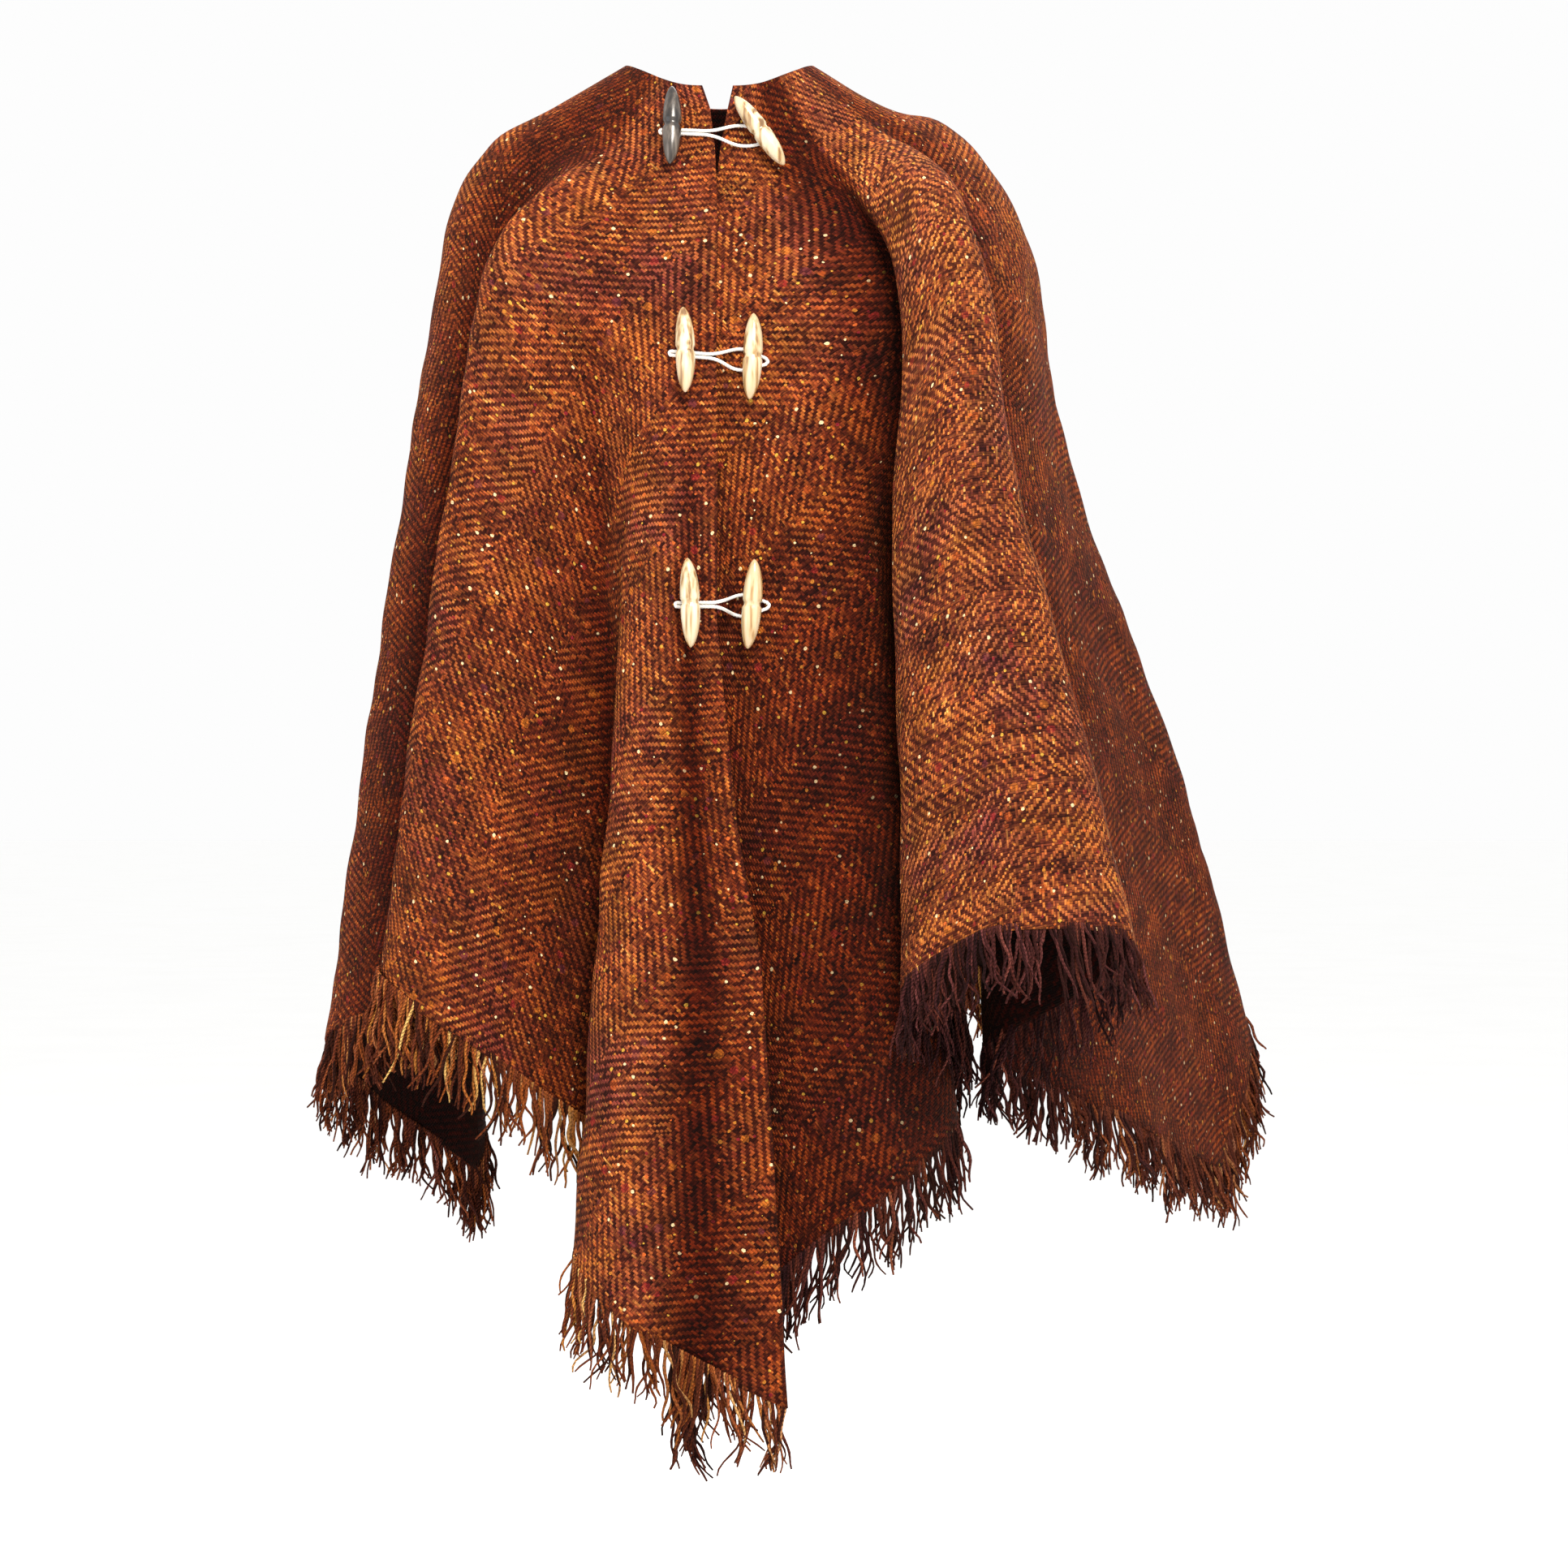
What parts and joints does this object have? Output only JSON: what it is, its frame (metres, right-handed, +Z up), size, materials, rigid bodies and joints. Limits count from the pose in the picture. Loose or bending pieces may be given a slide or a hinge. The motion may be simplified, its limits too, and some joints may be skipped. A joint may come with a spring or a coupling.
{
  "type": "wool poncho",
  "caption": "Square tweed poncho worn on the diagonal, with a round neck, a front opening closed by horn toggles and cord, and fringe on every edge.",
  "frame": {"origin": "middle of the neck opening, level with the tops of the shoulders, where a wearer holds the poncho up", "axes": "+Z up, the front closure faces -Y, +X to the viewer's right when seen from the front"},
  "size_m": [0.7471, 0.5702, 1.0424],
  "materials": {
    "tweed": "herringbone wool tweed",
    "tweed_fringe": "loose plied wool yarn",
    "pale_horn": "polished horn",
    "dark_horn": "polished horn",
    "white_cord": "twisted cord"
  },
  "bodies": {
    "root": {"cloth": "tweed", "fringe_front_right": "tweed_fringe", "fringe_back_right": "tweed_fringe", "fringe_back_left": "tweed_fringe", "fringe_front_left": "tweed_fringe", "toggle_left_1": "dark_horn", "toggle_right_1": "pale_horn", "toggle_left_2": "pale_horn", "toggle_right_2": "pale_horn", "toggle_left_3": "pale_horn", "toggle_right_3": "pale_horn", "cord_1": "white_cord", "cord_2": "white_cord", "cord_3": "white_cord"}
  },
  "joints": []
}
